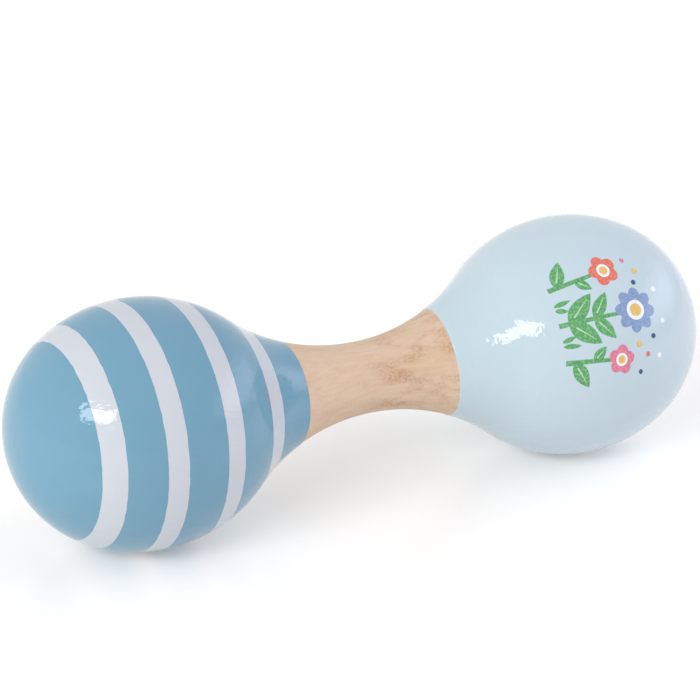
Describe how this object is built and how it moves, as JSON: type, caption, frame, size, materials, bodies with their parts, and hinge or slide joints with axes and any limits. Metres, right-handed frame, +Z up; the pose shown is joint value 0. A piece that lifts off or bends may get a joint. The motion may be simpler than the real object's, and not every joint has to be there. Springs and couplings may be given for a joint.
{
  "type": "double maraca",
  "caption": "Wooden double maraca: a hollow lacquered head at each end of a waisted bare-wood handle, one striped and one plain, with loose shot that rattles inside.",
  "frame": {"origin": "middle of the handle, on the maraca's axis", "axes": "+X along the axis towards the plain head, -X towards the striped head, +Z up as it lies on its two heads"},
  "size_m": [0.147, 0.048, 0.048],
  "materials": {
    "bare_wood": "sanded, satin",
    "blue_lacquer": "gloss lacquer with white stripes",
    "pale_lacquer": "gloss lacquer",
    "steel_shot": "polished"
  },
  "bodies": {
    "maraca": {"handle": "bare_wood", "striped_neck_shell": "blue_lacquer", "striped_dome_shell": "blue_lacquer", "plain_neck_shell": "pale_lacquer", "plain_dome_shell": "pale_lacquer"},
    "striped_ball_1": {"striped_ball_1": "steel_shot"},
    "striped_ball_2": {"striped_ball_2": "steel_shot"},
    "striped_ball_3": {"striped_ball_3": "steel_shot"},
    "striped_ball_4": {"striped_ball_4": "steel_shot"},
    "striped_ball_5": {"striped_ball_5": "steel_shot"},
    "striped_ball_6": {"striped_ball_6": "steel_shot"},
    "striped_ball_7": {"striped_ball_7": "steel_shot"},
    "striped_ball_8": {"striped_ball_8": "steel_shot"},
    "plain_ball_1": {"plain_ball_1": "steel_shot"},
    "plain_ball_2": {"plain_ball_2": "steel_shot"},
    "plain_ball_3": {"plain_ball_3": "steel_shot"},
    "plain_ball_4": {"plain_ball_4": "steel_shot"},
    "plain_ball_5": {"plain_ball_5": "steel_shot"},
    "plain_ball_6": {"plain_ball_6": "steel_shot"},
    "plain_ball_7": {"plain_ball_7": "steel_shot"},
    "plain_ball_8": {"plain_ball_8": "steel_shot"}
  },
  "joints": [
    {"name": "striped_ball_1_shake", "type": "slide", "parent": "maraca", "child": "striped_ball_1", "axis": [0, 0, 1], "range_m": [0, 0.0334]},
    {"name": "striped_ball_2_shake", "type": "slide", "parent": "maraca", "child": "striped_ball_2", "axis": [0, 0, 1], "range_m": [0, 0.03173]},
    {"name": "striped_ball_3_shake", "type": "slide", "parent": "maraca", "child": "striped_ball_3", "axis": [0, 0, 1], "range_m": [0, 0.03133]},
    {"name": "striped_ball_4_shake", "type": "slide", "parent": "maraca", "child": "striped_ball_4", "axis": [0, 0, 1], "range_m": [0, 0.03112]},
    {"name": "striped_ball_5_shake", "type": "slide", "parent": "maraca", "child": "striped_ball_5", "axis": [0, 0, 1], "range_m": [0, 0.0316]},
    {"name": "striped_ball_6_shake", "type": "slide", "parent": "maraca", "child": "striped_ball_6", "axis": [0, 0, 1], "range_m": [0, 0.0316]},
    {"name": "striped_ball_7_shake", "type": "slide", "parent": "maraca", "child": "striped_ball_7", "axis": [0, 0, 1], "range_m": [0, 0.03112]},
    {"name": "striped_ball_8_shake", "type": "slide", "parent": "maraca", "child": "striped_ball_8", "axis": [0, 0, 1], "range_m": [0, 0.03133]},
    {"name": "plain_ball_1_shake", "type": "slide", "parent": "maraca", "child": "plain_ball_1", "axis": [0, 0, 1], "range_m": [0, 0.0334]},
    {"name": "plain_ball_2_shake", "type": "slide", "parent": "maraca", "child": "plain_ball_2", "axis": [0, 0, 1], "range_m": [0, 0.03173]},
    {"name": "plain_ball_3_shake", "type": "slide", "parent": "maraca", "child": "plain_ball_3", "axis": [0, 0, 1], "range_m": [0, 0.03133]},
    {"name": "plain_ball_4_shake", "type": "slide", "parent": "maraca", "child": "plain_ball_4", "axis": [0, 0, 1], "range_m": [0, 0.03112]},
    {"name": "plain_ball_5_shake", "type": "slide", "parent": "maraca", "child": "plain_ball_5", "axis": [0, 0, 1], "range_m": [0, 0.0316]},
    {"name": "plain_ball_6_shake", "type": "slide", "parent": "maraca", "child": "plain_ball_6", "axis": [0, 0, 1], "range_m": [0, 0.0316]},
    {"name": "plain_ball_7_shake", "type": "slide", "parent": "maraca", "child": "plain_ball_7", "axis": [0, 0, 1], "range_m": [0, 0.03112]},
    {"name": "plain_ball_8_shake", "type": "slide", "parent": "maraca", "child": "plain_ball_8", "axis": [0, 0, 1], "range_m": [0, 0.03133]}
  ]
}
